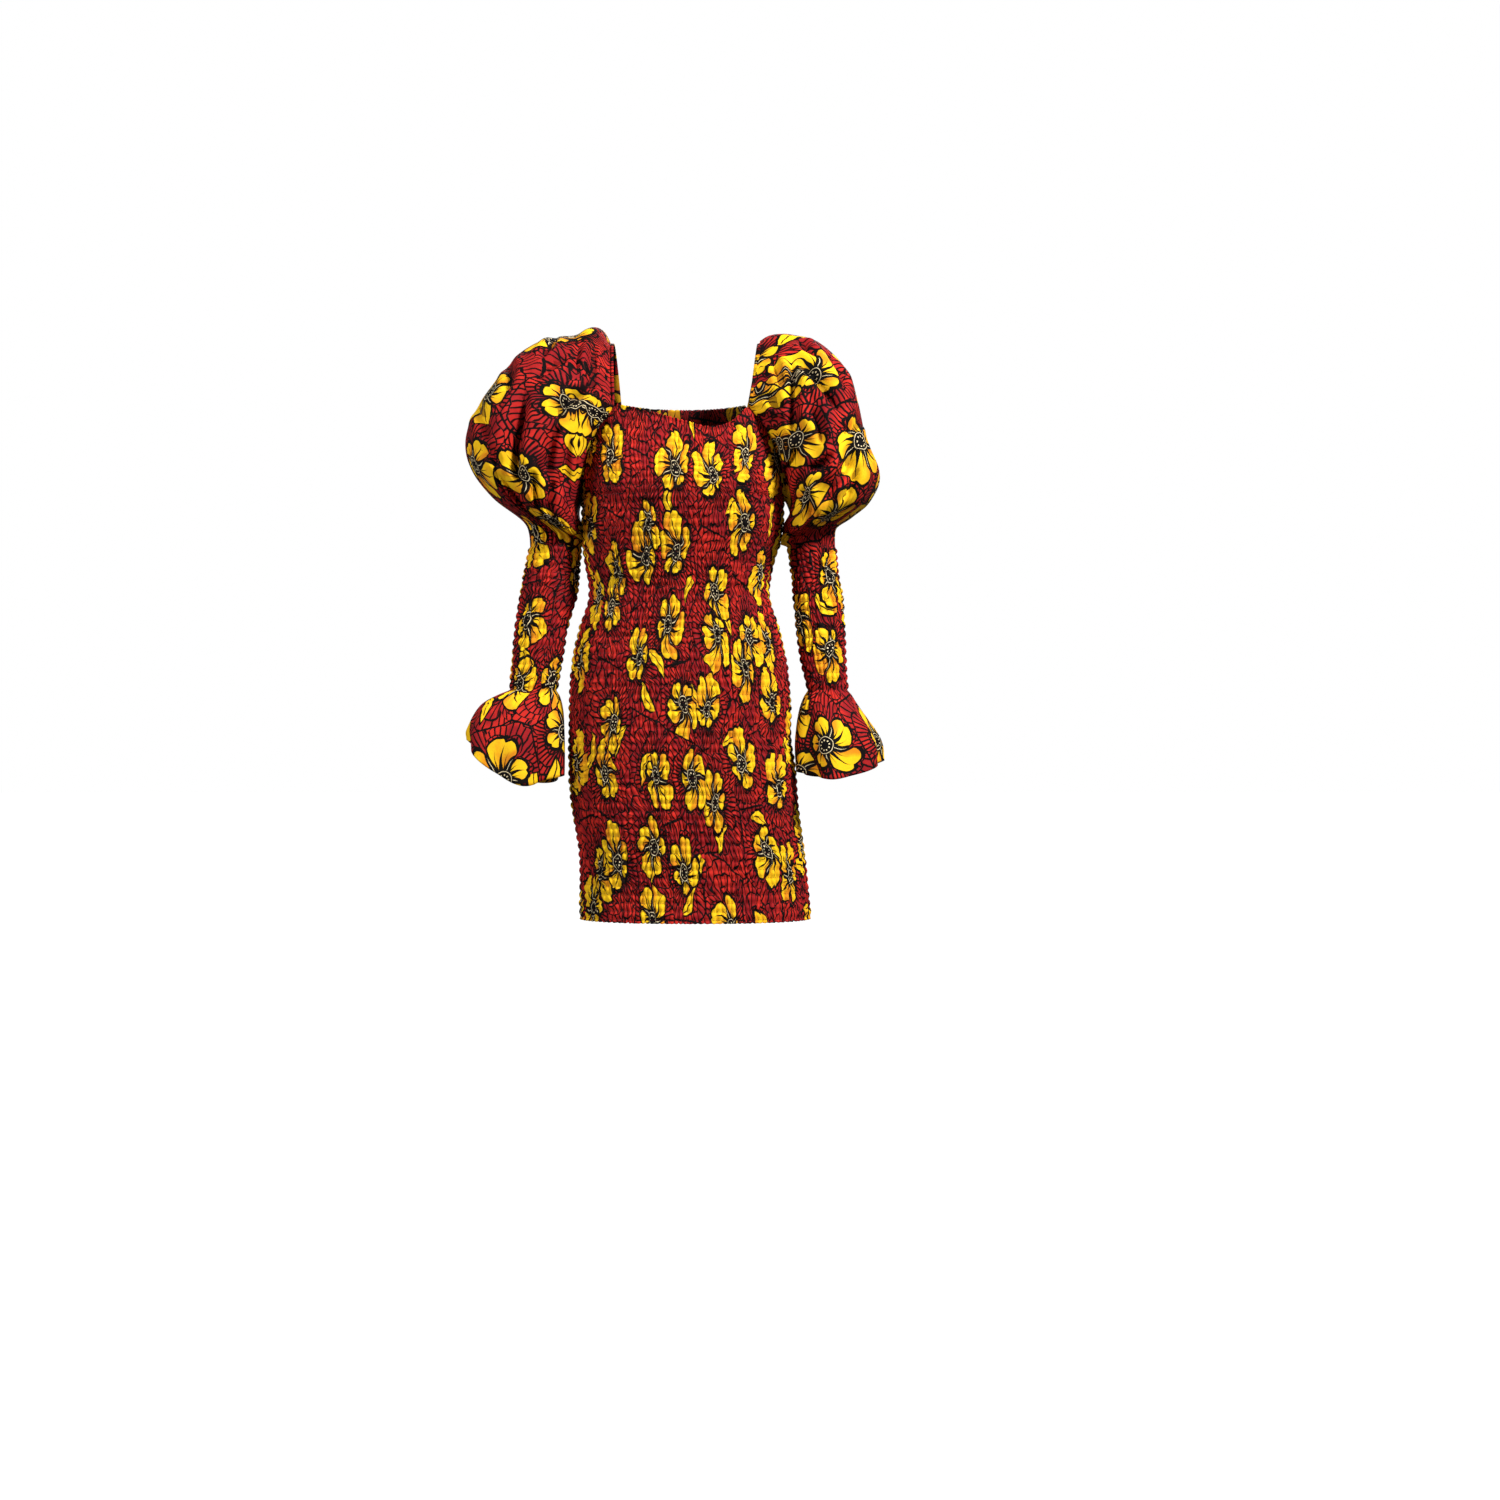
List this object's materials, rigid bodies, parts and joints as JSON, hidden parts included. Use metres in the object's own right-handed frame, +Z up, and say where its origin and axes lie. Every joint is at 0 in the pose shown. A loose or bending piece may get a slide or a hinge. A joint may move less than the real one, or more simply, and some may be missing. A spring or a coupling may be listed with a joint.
{
  "type": "puff sleeve dress",
  "caption": "Short square-necked dress with a body shirred from neckline to hem, and long sleeves with a balloon puff, a shirred forearm and a flared cuff.",
  "frame": {"origin": "midway between the two shoulders, at the height where the sleeves' neck edges rest on them", "axes": "+Z up the wearer's body, -Y out of the dress's front, +X towards the wearer's left"},
  "size_m": [0.5777, 0.2412, 0.811],
  "materials": {
    "front_panel_cloth": "printed cotton, red ground with yellow blossoms and black lines",
    "back_panel_cloth": "printed cotton, red ground with yellow blossoms and black lines",
    "sleeve_left_cloth": "printed cotton, red ground with yellow blossoms and black lines",
    "sleeve_right_cloth": "printed cotton, red ground with yellow blossoms and black lines"
  },
  "bodies": {
    "root": {"front_panel": "front_panel_cloth", "back_panel": "back_panel_cloth", "sleeve_left": "sleeve_left_cloth", "sleeve_right": "sleeve_right_cloth"}
  },
  "joints": []
}
